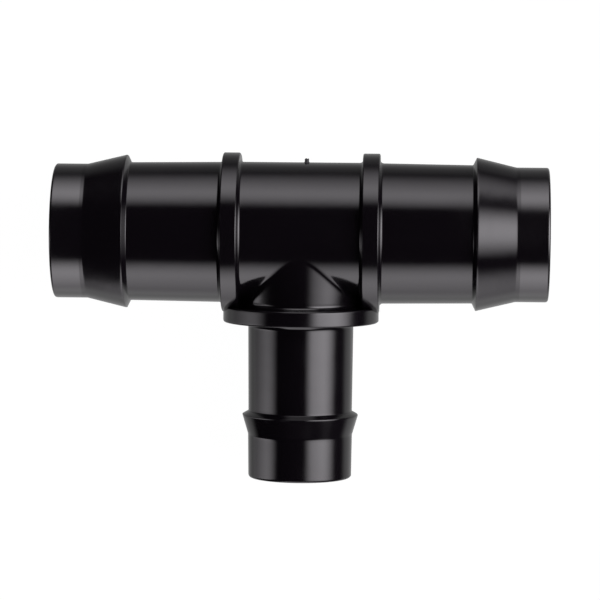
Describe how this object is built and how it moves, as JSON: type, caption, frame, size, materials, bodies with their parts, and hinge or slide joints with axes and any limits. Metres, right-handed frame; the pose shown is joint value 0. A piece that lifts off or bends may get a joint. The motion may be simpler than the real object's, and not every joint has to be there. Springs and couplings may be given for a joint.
{
  "type": "barbed tee connector",
  "caption": "Reducing barbed tee for soft irrigation pipe: straight run with barbed tails, a smaller barbed branch at right angles, stop collars and an open waterway.",
  "frame": {"origin": "where the axis of the straight waterway crosses the axis of the branch waterway", "axes": "+X along the straight run to the right, -Y along the branch towards its tip, +Z normal to the plane of the tee, so the part lies flat on its stop collars"},
  "size_m": [0.0902, 0.0596, 0.0292],
  "materials": {
    "moulded_black": "as moulded, satin gloss with faint flow mottling, a fine parting line and light handling wear",
    "torn_gate": "torn and dull where the sprue was broken off"
  },
  "bodies": {
    "root": {"run_centre": "moulded_black", "branch_neck": "moulded_black", "gate_vestige": "torn_gate", "left_stop_collar": "moulded_black", "left_shank": "moulded_black", "left_barb": "moulded_black", "left_nose": "moulded_black", "right_stop_collar": "moulded_black", "right_shank": "moulded_black", "right_barb": "moulded_black", "right_nose": "moulded_black", "branch_stop_collar": "moulded_black", "branch_shank": "moulded_black", "branch_barb": "moulded_black", "branch_nose": "moulded_black"}
  },
  "joints": []
}
